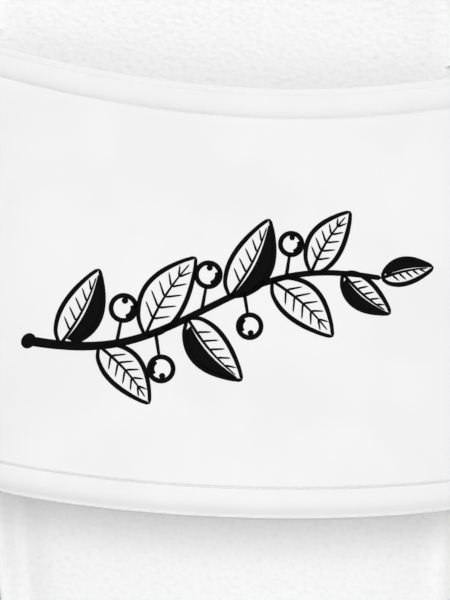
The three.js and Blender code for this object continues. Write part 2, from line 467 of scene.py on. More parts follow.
@dataclass(frozen=True)
class Outline:
    """Outline of the sole: how far its edge lies from a straight spine.

    Args:
        spine_half: Half of the spine's length.
        outer_side: Reaches along the outer side, from heel to toe.
        toe: Reaches round the toe.
        inner_side: Reaches along the inner side, from toe to heel.
        heel: Reaches round the heel.
        knots_per_run: Knots along each side and round each end.
    """

    spine_half: float = 88.0
    outer_side: tuple[float, ...] = (42, 44.5, 48, 50.5, 51.8, 52.3, 48.5)
    toe: tuple[float, ...] = (46.5, 46, 47.8, 50, 51)
    inner_side: tuple[float, ...] = (50, 52.5, 50, 47, 45, 42.5, 41)
    heel: tuple[float, ...] = (43, 46, 48, 46, 43)
    knots_per_run: int = 6

    def reach(self, knots: np.ndarray) -> np.ndarray:
        """Reads the smooth closed curve through the knots.

        Args:
            knots: Knot numbers, whole or between two knots.

        Returns:
            The reach there.
        """
        values = np.array(self.outer_side + self.toe + self.inner_side + self.heel)
        start = np.floor(knots).astype(int)
        return through(*(values[(start + k) % len(values)] for k in (-1, 0, 1, 2)), knots - start)

    def stations(self, count: int) -> tuple[np.ndarray, np.ndarray, np.ndarray]:
        """Walks once round the outline.

        Args:
            count: How many stations, a multiple of four.

        Returns:
            The spine point, the outward direction and the reach at each station.
        """
        knots = np.arange(count) * (4 * self.knots_per_run / count)
        run = (knots // self.knots_per_run).astype(int)
        along = (knots % self.knots_per_run) / self.knots_per_run
        side = np.where(run < 2, 1.0, -1.0)
        straight = run % 2 == 0
        angle = math.pi * along
        out_x = side * np.where(straight, 1.0, np.cos(angle))
        out_y = side * np.where(straight, 0.0, np.sin(angle))
        spine_y = side * np.where(straight, blend(-self.spine_half, self.spine_half, along), self.spine_half)
        spine = np.stack([np.zeros(count), spine_y], axis=1)
        return spine, np.stack([out_x, out_y], axis=1), self.reach(knots)

    def side_reach(self, side: np.ndarray, y: np.ndarray) -> np.ndarray:
        """Reads the outline beside the spine.

        Args:
            side: 1 for the outer side, -1 for the inner side.
            y: Place along the sole.

        Returns:
            How far the edge lies from the middle.
        """
        along = np.clip((y + self.spine_half) / (2 * self.spine_half), 0, 0.9999)
        return self.reach(np.where(side > 0, along, 3 - along) * self.knots_per_run)


@dataclass(frozen=True)
class SoleForm:
    """Heights of the sole's surfaces over the ground."""

    toe_spring: float = 9.0
    toe_spring_from: float = 76.0
    heel_bevel: float = 3.5
    heel_bevel_from: float = -114.0
    end: float = 136.0
    outsole_thickness: float = 5.5
    gap: float = 0.3
    bed_at_ball: float = 23.0
    bed_heel_rise: float = 6.0
    bed_heel_range: tuple[float, float] = (-75.0, 35.0)
    bed_toe_rise: float = 5.0
    footbed_thickness: float = 5.0
    cup_rise_sides: float = 5.5
    cup_heel_extra: float = 2.0
    cup_heel_range: tuple[float, float] = (40.0, 110.0)
    cup_toe_less: float = 3.0
    cup_toe_range: tuple[float, float] = (80.0, 130.0)
    cup_edge: float = 3.0
    cup_width: float = 8.0
    arch_support: float = 3.0
    arch_support_y: float = -22.0
    arch_support_length: float = 34.0
    arch_support_across: tuple[float, float] = (8.0, 26.0)
    arch_support_inset: tuple[float, float] = (0.0, 14.0)
    rim_below_cup: float = 1.2

    def toe_share(self, y: np.ndarray) -> np.ndarray:
        """Returns how far up the toe spring a place is."""
        return np.maximum(0, (y - self.toe_spring_from) / (self.end - self.toe_spring_from))

    def floor(self, x: np.ndarray, y: np.ndarray, inset: np.ndarray) -> np.ndarray:
        """Returns the underside's height: flat, with a raised toe and a bevelled heel."""
        heel = np.maximum(0, (self.heel_bevel_from - y) / (self.end + self.heel_bevel_from))
        return self.toe_spring * self.toe_share(y) ** 2 + self.heel_bevel * heel**2

    def bed(self, y: np.ndarray) -> np.ndarray:
        """Returns the footbed's lowest line."""
        heel = 1 - smoothstep(y, *self.bed_heel_range)
        return self.bed_at_ball + self.bed_heel_rise * heel + self.bed_toe_rise * self.toe_share(y) ** 2

    def cup(self, y: np.ndarray) -> np.ndarray:
        """Returns how far the footbed's rim stands over its lowest line."""
        heel = self.cup_heel_extra * smoothstep(-y, *self.cup_heel_range)
        return self.cup_rise_sides + heel - self.cup_toe_less * smoothstep(y, *self.cup_toe_range)

    def footbed(self, x: np.ndarray, y: np.ndarray, inset: np.ndarray) -> np.ndarray:
        """Shapes the footbed's top: a cup with a low arch support on the inner side.

        Args:
            x: Place across the sole.
            y: Place along the sole.
            inset: Distance in from the outline.

        Returns:
            The top's height.
        """
        side = self.cup(y) * (1 - smoothstep(inset, self.cup_edge, self.cup_width))
        along = (y - self.arch_support_y) / self.arch_support_length
        support = self.arch_support * np.exp(-(along**2)) * smoothstep(-x, *self.arch_support_across)
        return self.bed(y) + side + support * smoothstep(inset, *self.arch_support_inset)

    def outsole_top(self, x: np.ndarray, y: np.ndarray, inset: np.ndarray) -> np.ndarray:
        """Returns the top of the outsole."""
        return self.floor(x, y, inset) + self.outsole_thickness

    def midsole_bottom(self, x: np.ndarray, y: np.ndarray, inset: np.ndarray) -> np.ndarray:
        """Returns the underside of the midsole."""
        return self.outsole_top(x, y, inset) + self.gap

    def midsole_rim(self, x: np.ndarray, y: np.ndarray, inset: np.ndarray) -> np.ndarray:
        """Returns the top of the midsole's wall."""
        return self.bed(y) + self.cup(y) - self.rim_below_cup

    def footbed_bottom(self, x: np.ndarray, y: np.ndarray, inset: np.ndarray) -> np.ndarray:
        """Returns the underside of the footbed."""
        return self.bed(y) - self.footbed_thickness


@dataclass(frozen=True)
class BandForm:
    """Outer face of the band: an arch whose tilt grows slowly over the top and fast at the shoulders."""

    outline: Outline = field(default_factory=Outline)
    middle_y: float = 22.0
    front: float = 37.0
    front_curve: float = 0.003
    rear: float = -38.25
    rear_curve: float = 0.00145
    low_x: float = 13.0
    top_front: float = 68.0
    top_rear: float = 85.0
    crown: float = 0.3
    foot_z: float = 14.0
    inset: float = 3.0
    crest_x: float = -6.0
    wall_tilt: float = math.radians(90)
    tilt_power: float = 4.6
    arch_share: float = 0.6
    front_lean: float = 0.14
    rear_lean: float = 0.1
    steps: int = 2400

    def arch(self) -> np.ndarray:
        """Walks down one side of an arch of unit length.

        Returns:
            The sideways reach and the drop at each step.
        """
        tilt = self.wall_tilt * ((np.arange(self.steps) + 0.5) / self.steps) ** self.tilt_power
        moves = np.stack([np.cos(tilt), np.sin(tilt)], axis=1) / self.steps
        return np.vstack([[0, 0], np.cumsum(moves, axis=0)])

    def crest(self, y: np.ndarray) -> np.ndarray:
        """Returns the height of the crest: it falls towards the toe, with a slight crown."""
        share = (y - self.middle_y - self.rear) / (self.front - self.rear)
        return blend(self.top_rear, self.top_front, share) + self.crown * (1 - (2 * share - 1) ** 2)

    def face(self, across: np.ndarray, y: np.ndarray) -> np.ndarray:
        """Shapes the outer face.

        Args:
            across: From -1, the inner foot, over 0, the crest, to 1, the outer foot.
            y: Place along the sole.

        Returns:
            Points of the face.
        """
        table = self.arch()
        width, fall = table[-1]
        side = np.where(across < 0, -1.0, 1.0)
        half_width = self.outline.side_reach(side, y) - self.inset - side * self.crest_x
        crest = self.crest(y)
        height = crest - self.foot_z
        slack = 1 / math.tan(self.wall_tilt)
        size = (half_width - slack * height) / (width - slack * fall)
        place = np.clip(np.abs(across) / self.arch_share, 0, 1) * (len(table) - 1)
        steps = np.arange(len(table))
        reach = np.interp(place, steps, table[:, 0])
        drop = np.interp(place, steps, table[:, 1])
        wall = np.maximum(0, (np.abs(across) - self.arch_share) / (1 - self.arch_share))
        down = wall * (height - size * fall)
        x = self.crest_x + side * (size * reach + down * slack)
        return np.stack(np.broadcast_arrays(x, y, crest - size * drop - down), axis=-1)

    def ends(self, across: np.ndarray) -> tuple[np.ndarray, np.ndarray]:
        """Shapes the band's edges: they bow at the top and lean back together down the sides.

        Args:
            across: Places across the band, as for the face.

        Returns:
            The front and the rear edge's place along the sole.
        """
        middle = np.full_like(across, self.middle_y)
        here = self.face(across, middle)
        shoulder = self.face(np.sign(across) * self.arch_share, middle)
        fade = smoothstep(np.abs(across), self.arch_share, 1)
        below = np.maximum(0, shoulder[..., 2] - here[..., 2]) * fade
        from_low = (here[..., 0] - self.low_x) ** 2
        front = self.middle_y + self.front + self.front_curve * from_low + self.front_lean * below
        rear = self.middle_y + self.rear + self.rear_curve * from_low - self.rear_lean * below
        return front, rear

    def raised(self, across: np.ndarray, y: np.ndarray, height: np.ndarray) -> np.ndarray:
        """Rises square from the outer face.

        Args:
            across: Places across the band, as for the face.
            y: Places along the sole.
            height: Heights over the face.

        Returns:
            The points at those heights.
        """
        step_across, step_along = 0.004, 0.5
        along_band = self.face(across + step_across, y) - self.face(across - step_across, y)
        along_sole = self.face(across, y + step_along) - self.face(across, y - step_along)
        normal = np.cross(along_band, along_sole)
        normal /= np.linalg.norm(normal, axis=-1, keepdims=True)
        return self.face(across, y) + normal * np.asarray(height)[..., None]

    def across_at(self, x: np.ndarray, y: np.ndarray) -> np.ndarray:
        """Finds what lies under a point seen from above, by halving.

        Args:
            x: Places across the sole.
            y: Places along the sole.

        Returns:
            The places across the band, as for the face.
        """
        low = np.full_like(x, -1.0)
        high = np.full_like(x, 1.0)
        for _ in range(32):
            middle = (low + high) / 2
            past = self.face(middle, y)[..., 0] > x
            high = np.where(past, middle, high)
            low = np.where(past, low, middle)
        return (low + high) / 2


# Mesh helpers


def placed(name: str, data: bpy.types.ID) -> bpy.types.Object:
    """Adds an object to the scene.

    Args:
        name: The object's name.
        data: What it holds.

    Returns:
        The object.
    """
    made = bpy.data.objects.new(name, data)
    bpy.context.scene.collection.objects.link(made)
    return made


def moulded(name: str, work: bmesh.types.BMesh) -> bpy.types.Object:
    """Turns a working mesh into an object.

    Args:
        name: Name of the new object and of its mesh.
        work: The working mesh, which is freed.

    Returns:
        The new object.
    """
    mesh = bpy.data.meshes.new(name)
    work.to_mesh(mesh)
    work.free()
    return placed(name, mesh)


def skin(name: str, rows: np.ndarray, capped: bool = False) -> bpy.types.Object:
    """Skins closed rows of points, merges the points that touch and drops folded faces.

    Args:
        name: Name of the new object.
        rows: Points in millimetres, by row and place in the row. Each row closes on itself.
        capped: Whether the first and last rows are filled. Otherwise they fold onto a line or a point.

    Returns:
        The new object, smooth shaded, with its faces pointing out.
    """
    count, width, _ = rows.shape
    index = np.arange(count * width).reshape(count, width)
    nxt = np.roll(index, -1, axis=1)
    quads = np.stack([index[:-1], nxt[:-1], nxt[1:], index[1:]], axis=-1).reshape(-1, 4)
    faces = quads.tolist()
    if capped:
        faces += [index[0][::-1].tolist(), index[-1].tolist()]
    rough = bpy.data.meshes.new("rough")
    rough.from_pydata((rows.reshape(-1, 3) * MM).tolist(), [], faces)
    work = bmesh.new()
    work.from_mesh(rough)
    bpy.data.meshes.remove(rough)
    bmesh.ops.remove_doubles(work, verts=work.verts, dist=TOUCHING)
    bmesh.ops.dissolve_degenerate(work, edges=work.edges, dist=FOLDED)
    bmesh.ops.recalc_face_normals(work, faces=work.faces)
    for face in work.faces:
        face.smooth = True
    return moulded(name, work)


def dress(piece: bpy.types.Object, material: bpy.types.Material, slot: str, *nodes: str) -> None:
    """Gives a piece its material and body, hides the frame's nodes that it replaces and logs its faces and
    material.

    Args:
        piece: The piece.
        material: Its material.
        slot: The record's material slot. Not used.
        nodes: The frame's nodes that it replaces.
    """
    piece.data.materials.clear()
    piece.data.materials.append(material)
    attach(piece, BODY)
    if nodes:
        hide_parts(*nodes)
    log.info("%s: %d faces, %s", piece.name, len(piece.data.polygons), material.name)


def rounded(outer: float, inner: float, low: float, high: float, steps: int = 5) -> list[tuple[float, float]]:
    """Returns a quarter round from (outer, low) to (inner, high), as insets and heights."""
    angles = np.linspace(0, math.pi / 2, steps + 1)
    return [(inner - (inner - outer) * math.cos(a), low + (high - low) * math.sin(a)) for a in angles]


# Pieces


@dataclass
class RingPiece:
    """A piece of the sole, skinned through rings at insets from the outline.

    Args:
        outline: The outline.
        form: The sole's heights.
        band: The band that stands in the sole.
        steps: Points of a ring.
        spine_inset: An inset past the spine, where a ring folds onto it.
        flat_inset: Inset of the ring round the flat middle.
        foot_across: Place across the band where its feet meet the sole.
        side_limit: How much a station may face the toe or heel and still be at a side.
    """

    outline: Outline
    form: SoleForm
    band: BandForm
    steps: int = 720
    spine_inset: float = 100.0
    flat_inset: float = 24.0
    foot_across: float = 0.83
    side_limit: float = 0.5

    def ring(self, inset: Any, height: Height) -> np.ndarray:
        """Makes one ring.

        Args:
            inset: Distance in from the outline, one number or one for each station.
            height: The ring's height at each place.

        Returns:
            The ring's points.
        """
        spine, out, reach = self.outline.stations(self.steps)
        inward = np.minimum(np.broadcast_to(np.asarray(inset, float), reach.shape), reach)
        points = spine + out * (reach - inward)[:, None]
        return np.column_stack([points, height(points[:, 0], points[:, 1], inward)])

    def lifted(self, inset: Any, base: Height, lift: float) -> np.ndarray:
        """Returns a ring that lies a little over or under a surface."""
        return self.ring(inset, lambda x, y, i: base(x, y, i) + lift)

    def beside_band(self, margin: float, softness: float) -> np.ndarray:
        """Marks the stations that the band's feet stand beside.

        Args:
            margin: How far past the band's ends this reaches.
            softness: Length of the change.

        Returns:
            1 beside the feet and 0 away from them, by station.
        """
        spine, out, reach = self.outline.stations(self.steps)
        y = spine[:, 1] + out[:, 1] * reach
        foot = np.where(out[:, 0] > 0, self.foot_across, -self.foot_across)
        front, rear = self.band.ends(foot)
        inside = np.minimum(front + margin - y, y - rear + margin)
        at_side = np.abs(out[:, 1]) < self.side_limit
        return np.where(at_side, smoothstep(inside, -softness, 0), 0)


@dataclass
class Outsole(RingPiece):
    """Rubber bottom layer with transverse grooves in two rows."""

    inset: float = 3.0
    corner: float = 1.2
    upper_edge: Profile = ((2.3, 5.2), (2.5, 5.5))
    groove_width: float = 3.0
    groove_depth: float = 2.2
    groove_taper: tuple[float, float] = (1.0, 0.8)
    groove_pitch: float = 13.0
    groove_from: float = -104.0
    groove_count: int = 15
    tread_border: float = 9.0
    tread_spine: float = 5.0

    def grooves(self) -> bpy.types.Object:
        """Makes one cutter that holds every groove.

        Returns:
            The cutter.
        """
        work = bmesh.new()
        for i in range(self.groove_count):
            y = self.groove_from + i * self.groove_pitch
            for side in (1.0, -1.0):
                reach = float(self.outline.side_reach(np.array(side), np.array(y)))
                length = reach - self.inset - self.tread_border - self.tread_spine
                x = side * (self.tread_spine + length / 2)
                lift = float(self.form.floor(np.array(x), np.array(y), np.array(0.0)))
                self.groove(work, (x, y, lift), length)
        return moulded("groove_cutter", work)

    def groove(self, work: bmesh.types.BMesh, centre: tuple[float, float, float], length: float) -> None:
        """Adds one groove's cutter, with slanted walls.

        Args:
            work: The mesh it is added to.
            centre: Middle of the groove's mouth.
            length: Length of the groove across the sole.
        """
        for vert in bmesh.ops.create_cube(work, size=1.0)["verts"]:
            less_long, less_wide = self.groove_taper if vert.co.z > 0 else (0.0, 0.0)
            vert.co.x *= (length - less_long) * MM
            vert.co.y *= (self.groove_width - less_wide) * MM
            vert.co.z *= 2 * self.groove_depth * MM
            vert.co += type(vert.co)(value * MM for value in centre)

    def build(self) -> bpy.types.Object:
        """Builds the piece.

        Returns:
            The piece.
        """
        low, top = self.form.floor, self.form.outsole_top
        rows = [self.ring(self.spine_inset, low), self.ring(self.flat_inset, low)]
        corner = rounded(self.inset, self.inset + self.corner, self.corner, 0.0)[::-1]
        rows += [self.lifted(inset, low, lift) for inset, lift in (*corner, *self.upper_edge)]
        rows += [self.ring(self.flat_inset, top), self.ring(self.spine_inset, top)]
        piece = skin("tread_outsole", np.array(rows))
        cutter = self.grooves()
        cut = piece.modifiers.new("grooves", "BOOLEAN")
        cut.operation = "DIFFERENCE"
        cut.solver = "EXACT"
        cut.object = cutter
        graph = bpy.context.evaluated_depsgraph_get()
        mesh = bpy.data.meshes.new_from_object(piece.evaluated_get(graph))
        piece.modifiers.clear()
        piece.data = mesh
        mesh.name = piece.name
        bpy.data.objects.remove(cutter)
        return piece


@dataclass
class Midsole(RingPiece):
    """Foam tray: a bulging wall with a moulded line, a rounded rim and pockets for the band's feet."""

    wall: float = 2.5
    wall_rings: int = 49
    wall_top: float = 0.93
    widest_share: float = 0.5
    widest_inset: float = 0.2
    foot_draw: float = 1.4
    foot_power: float = 2.2
    rim_draw: float = 0.3
    rim_crest: float = 1.55
    rim_round: float = 1.6
    inner_round: float = 0.5
    line_share: float = 0.36
    line_width: float = 0.022
    line_depth: float = 0.5
    pocket_inner: float = 7.4
    pocket_floor: float = 13.5
    pocket_margin: float = 0.45
    pocket_softness: float = 0.6
    pocket_wall: float = 0.05

    def wall_inset(self, share: float) -> float:
        """Shapes the wall: drawn in to its foot, less to its rim, with a moulded line.

        Args:
            share: From 0 at the wall's foot to 1 under its rim.

        Returns:
            How far in the wall lies.
        """
        below = 1 - min(share / self.widest_share, 1)
        above = max(0, (share - self.widest_share) / (1 - self.widest_share))
        near = (share - self.line_share) / self.line_width
        bulge = self.widest_inset + self.foot_draw * below**self.foot_power + self.rim_draw * above**2
        return bulge + self.line_depth * math.exp(-near * near)

    def wall_rows(self) -> list[np.ndarray]:
        """Makes the rings of the outer wall and its rim.

        Returns:
            The rings, from the wall's foot over its rim and down inside.
        """
        low, rim = self.form.midsole_bottom, self.form.midsole_rim

        def between(share: float) -> np.ndarray:
            """Returns the ring at a share of the wall."""
            part = self.wall_top * share
            return self.ring(self.wall_inset(share), lambda x, y, i: blend(low(x, y, i), rim(x, y, i), part))

        outer = rounded(self.widest_inset + self.rim_draw, self.rim_crest, -self.rim_round, 0.0, 6)[1:]
        inner = rounded(0.0, self.inner_round, self.inner_round, 0.0, 3)
        inner = [(self.wall - inset, lift - self.inner_round) for inset, lift in inner]
        rows = [between(share) for share in np.linspace(0, 1, self.wall_rings)]
        return rows + [self.lifted(inset, rim, lift) for inset, lift in outer + inner]

    def build(self) -> bpy.types.Object:
        """Builds the piece.

        Returns:
            The piece.
        """
        bottom = self.form.midsole_bottom
        beside = self.beside_band(self.pocket_margin, self.pocket_softness)

        def tray(x: np.ndarray, y: np.ndarray, inset: np.ndarray) -> np.ndarray:
            """Returns the tray's floor."""
            return self.form.footbed_bottom(x, y, inset) - self.form.gap

        def pocket(x: np.ndarray, y: np.ndarray, inset: np.ndarray) -> np.ndarray:
            """Returns the floor beside the wall, which is lower where the band's feet stand."""
            return blend(tray(x, y, inset), self.pocket_floor, beside)

        rows = [self.ring(self.spine_inset, bottom), self.ring(self.flat_inset, bottom)]
        rows += self.wall_rows()
        rows += [self.ring(self.wall, pocket), self.ring(self.pocket_inner, pocket)]
        rows += [self.ring(self.pocket_inner + self.pocket_wall, tray), self.ring(self.spine_inset, tray)]
        return skin("foam_midsole", np.array(rows))


@dataclass
class Footbed(RingPiece):
    """Cupped, grained top layer, drawn in beside the band's feet."""

    edge: float = 2.8
    edge_beside_band: float = 7.35
    band_margin: float = 0.3
    band_softness: float = 0.8
    lower_corner: float = 0.4
    upper_round: float = 0.9
    cup_from: float = 4.2
    cup_step: float = 0.7
    flat_rings: tuple[float, ...] = (26.0, 30.0)

    def build(self) -> bpy.types.Object:
        """Builds the piece.

        Returns:
            The piece.
        """
        bottom, top = self.form.footbed_bottom, self.form.footbed
        beside = self.beside_band(self.band_margin, self.band_softness)
        drawn_in = (self.edge_beside_band - self.edge) * beside
        span = self.flat_inset - self.edge

        def moved(inset: float) -> np.ndarray:
            """Returns an inset, drawn in beside the band and less so further in."""
            return inset + drawn_in * max(0.0, (self.flat_inset - inset) / span)

        rows = [self.ring(self.spine_inset, bottom), self.ring(self.flat_inset, bottom)]
        rows.append(self.ring(moved(self.edge + self.lower_corner), bottom))
        rows.append(self.lifted(moved(self.edge), bottom, self.lower_corner))
        corner = rounded(self.edge, self.edge + self.upper_round, -self.upper_round, 0.0, 6)
        rows += [self.lifted(moved(inset), top, lift) for inset, lift in corner]
        cup = np.arange(self.cup_from, self.flat_inset, self.cup_step)
        rows += [self.ring(moved(inset), top) for inset in (*cup, *self.flat_rings, self.spine_inset)]
        return skin("grained_footbed", np.array(rows))


class Anchor(Enum):
    """What a place in the band's section is measured from."""

    FRONT = "front"
    REAR = "rear"
    SHARE = "share"


@dataclass(frozen=True)
class SectionPoint:
    """One point of a section through the band.

    Args:
        anchor: What the distance is measured from.
        distance: Distance in from an end, or share of the way from front to rear.
        height: Height over the outer face.
        moulded: Whether the height fades away at the band's feet.
    """

    anchor: Anchor
    distance: float
    height: float
    moulded: bool = False


@dataclass
class BandLayer:
    """A layer of the band, skinned through sections from its inner to its outer foot."""

    form: BandForm
    sections: int = 420
    bead_gone_z: float = 36.0
    bead_full_z: float = 44.0
    bead_trace: float = 0.15
    panel_steps: int = 40
    panel_margin: int = 5

    def loft(self, name: str, section: list[SectionPoint]) -> bpy.types.Object:
        """Skins the layer.

        Args:
            name: Name of the new object.
            section: The section's points, in order round it.

        Returns:
            The new object.
        """
        across = np.linspace(-1, 1, self.sections)
        front, rear = self.form.ends(across)
        columns = []
        for point in section:
            if point.anchor is Anchor.FRONT:
                y = front - point.distance
            elif point.anchor is Anchor.REAR:
                y = rear + point.distance
            else:
                y = blend(front, rear, point.distance)
            height = np.full_like(y, point.height)
            if point.moulded:
                risen = smoothstep(self.form.face(across, y)[:, 2], self.bead_gone_z, self.bead_full_z)
                height = height * blend(self.bead_trace, 1.0, risen)
            columns.append(self.form.raised(across, y, height))
        return skin(name, np.stack(columns, axis=1), capped=True)

    def plain(self, height: float, first: float) -> list[SectionPoint]:
        """Makes points straight across the panel.

        Args:
            height: Height over the outer face.
            first: Distance from each end at which they begin and end.

        Returns:
            The points, from front to rear.
        """
        points = [SectionPoint(Anchor.FRONT, first, height)]
        shares = np.linspace(0, 1, self.panel_steps + 1)[self.panel_margin : -self.panel_margin]
        points += [SectionPoint(Anchor.SHARE, float(share), height) for share in shares]
        return points + [SectionPoint(Anchor.REAR, first, height)]


@dataclass(frozen=True)
class Rim:
    """Form of one rim of the band, from its outer edge to the crease.

    Args:
        lip_width: Width of the lip.
        lip_top: Height of the lip.
        lip_fall: How far the lip falls to its outer edge.
        groove: Depth of the groove behind the lip.
        bead_top_at: Distance in to the bead's highest line.
        bead_top: Height of the bead.
        bead_shoulder: How evenly the bead falls to the groove.
        inner_slope: How far the bead falls evenly towards the crease.
        inner_fall: How far it falls besides at the crease itself.
        inner_round: How tightly it turns down there.
        crease_at: Distance in to the crease.
        edge_drop: How far the lip's outer face reaches down.
        lip_round: How square the lip's top is.
        groove_width: Width of the groove's floor.
        crease_gap: Width of the crease.
    """

    lip_width: float
    lip_top: float
    lip_fall: float
    groove: float
    bead_top_at: float
    bead_top: float
    bead_shoulder: float
    inner_slope: float
    inner_fall: float
    inner_round: float
    crease_at: float = 5.14
    edge_drop: float = 0.3
    lip_round: float = 1.4
    groove_width: float = 0.2
    crease_gap: float = 0.02

    def points(self) -> list[tuple[float, float]]:
        """Walks over the rim.

        Returns:
            Distances in and heights, up to the crease.
        """
        half = self.lip_width / 2
        points = [(0.0, self.lip_top - self.lip_fall - self.edge_drop)]
        for angle in np.linspace(0, math.pi, 13):
            drop = self.lip_fall if angle < math.pi / 2 else self.groove
            height = self.lip_top - drop * (1 - math.sin(angle) ** self.lip_round)
            points.append((half - half * math.cos(angle), height))
        start = self.lip_width + self.groove_width
        fall = self.bead_top - self.lip_top + self.groove
        for away in np.linspace(1, 0, 17):
            distance = blend(self.bead_top_at, start, away)
            points.append((distance, self.bead_top - fall * away**self.bead_shoulder))
        for away in (*np.linspace(0.1, 0.8, 12), *np.linspace(0.84, 1, 9)):
            distance = blend(self.bead_top_at, self.crease_at - self.crease_gap, away)
            fall = self.inner_slope * away**2 + self.inner_fall * away**self.inner_round
            points.append((distance, self.bead_top - fall))
        return points


@dataclass
class BandShell(BandLayer):
    """Moulded outer shell: along each edge a fine lip, a groove, a low bead and a sharp crease.

    Args:
        thickness: Its thickness.
        front_rim: Its front rim.
        rear_rim: Its rear rim.
        cove: Distances past the front crease, and heights, up to the panel.
        step: The same behind the rear crease.
        panel_from: Distance from each edge at which the panel's points begin.
        inner_from: The same on the inside.
        inner_corner: Height of the inner edges over the inside.
    """

    thickness: float = 2.4
    front_rim: Rim = Rim(
        lip_width=1.2, lip_top=0.64, lip_fall=0.12, groove=0.15,
        bead_top_at=2.6, bead_top=0.76, bead_shoulder=1.5,
        inner_slope=0.74, inner_fall=0.3, inner_round=14.0,
    )
    rear_rim: Rim = Rim(
        lip_width=0.3, lip_top=-0.58, lip_fall=0.9, groove=0.26,
        bead_top_at=4.1, bead_top=0.27, bead_shoulder=3.0,
        inner_slope=0.1, inner_fall=0.67, inner_round=8.0,
    )
    cove: Profile = (
        (0.0, -0.28), (0.02, -0.275), (0.1, -0.24), (0.3, -0.14),
        (0.8, -0.045), (1.6, -0.01), (2.4, 0.0),
    )
    step: Profile = (
        (0.0, -0.5), (0.02, -0.49), (0.08, -0.4), (0.17, -0.24),
        (0.27, -0.09), (0.4, -0.02), (0.7, 0.0),
    )
    panel_from: float = 8.6
    inner_from: float = 0.25
    inner_corner: float = 0.3

    def edge(self, anchor: Anchor, rim: Rim, crease: Profile) -> list[SectionPoint]:
        """Makes one edge.

        Args:
            anchor: The edge.
            rim: Its form.
            crease: Distances past the crease, and heights, up to the panel.

        Returns:
            Its points, from the lip over the bead and down into the crease.
        """
        points = rim.points() + [(rim.crease_at + past, height) for past, height in crease]
        return [SectionPoint(anchor, distance, height, True) for distance, height in points]

    def build(self) -> bpy.types.Object:
        """Builds the piece.

        Returns:
            The piece.
        """
        front = self.edge(Anchor.FRONT, self.front_rim, self.cove)
        rear = self.edge(Anchor.REAR, self.rear_rim, self.step)
        panel = self.plain(0.0, self.panel_from)
        inner = self.plain(-self.thickness, self.inner_from)[::-1]
        lower = self.inner_corner - self.thickness
        turns = [SectionPoint(anchor, 0.0, lower) for anchor in (Anchor.REAR, Anchor.FRONT)]
        return self.loft("moulded_band", front + panel + rear[::-1] + turns[:1] + inner + turns[1:])


@dataclass
class BandLining(BandLayer):
    """Knit backing, set back from the shell's edges."""

    top: float = -2.7
    bottom: float = -3.9
    inset: float = 1.2
    corner: Profile = ((0.35, 0.0), (0.1, 0.1), (0.0, 0.35))
    panel_from: float = 0.6

    def build(self) -> bpy.types.Object:
        """Builds the piece.

        Returns:
            The piece.
        """
        edge = [(in_by, self.bottom + lift) for in_by, lift in self.corner] + [(0.0, self.top)]
        front = [SectionPoint(Anchor.FRONT, self.inset + in_by, height) for in_by, height in edge]
        rear = [SectionPoint(Anchor.REAR, self.inset + in_by, height) for in_by, height in edge[::-1]]
        outer = self.plain(self.top, self.inset + self.panel_from)
        inner = self.plain(self.bottom, self.inset + self.panel_from)[::-1]
        return self.loft("knit_lining", front + outer + rear + inner)


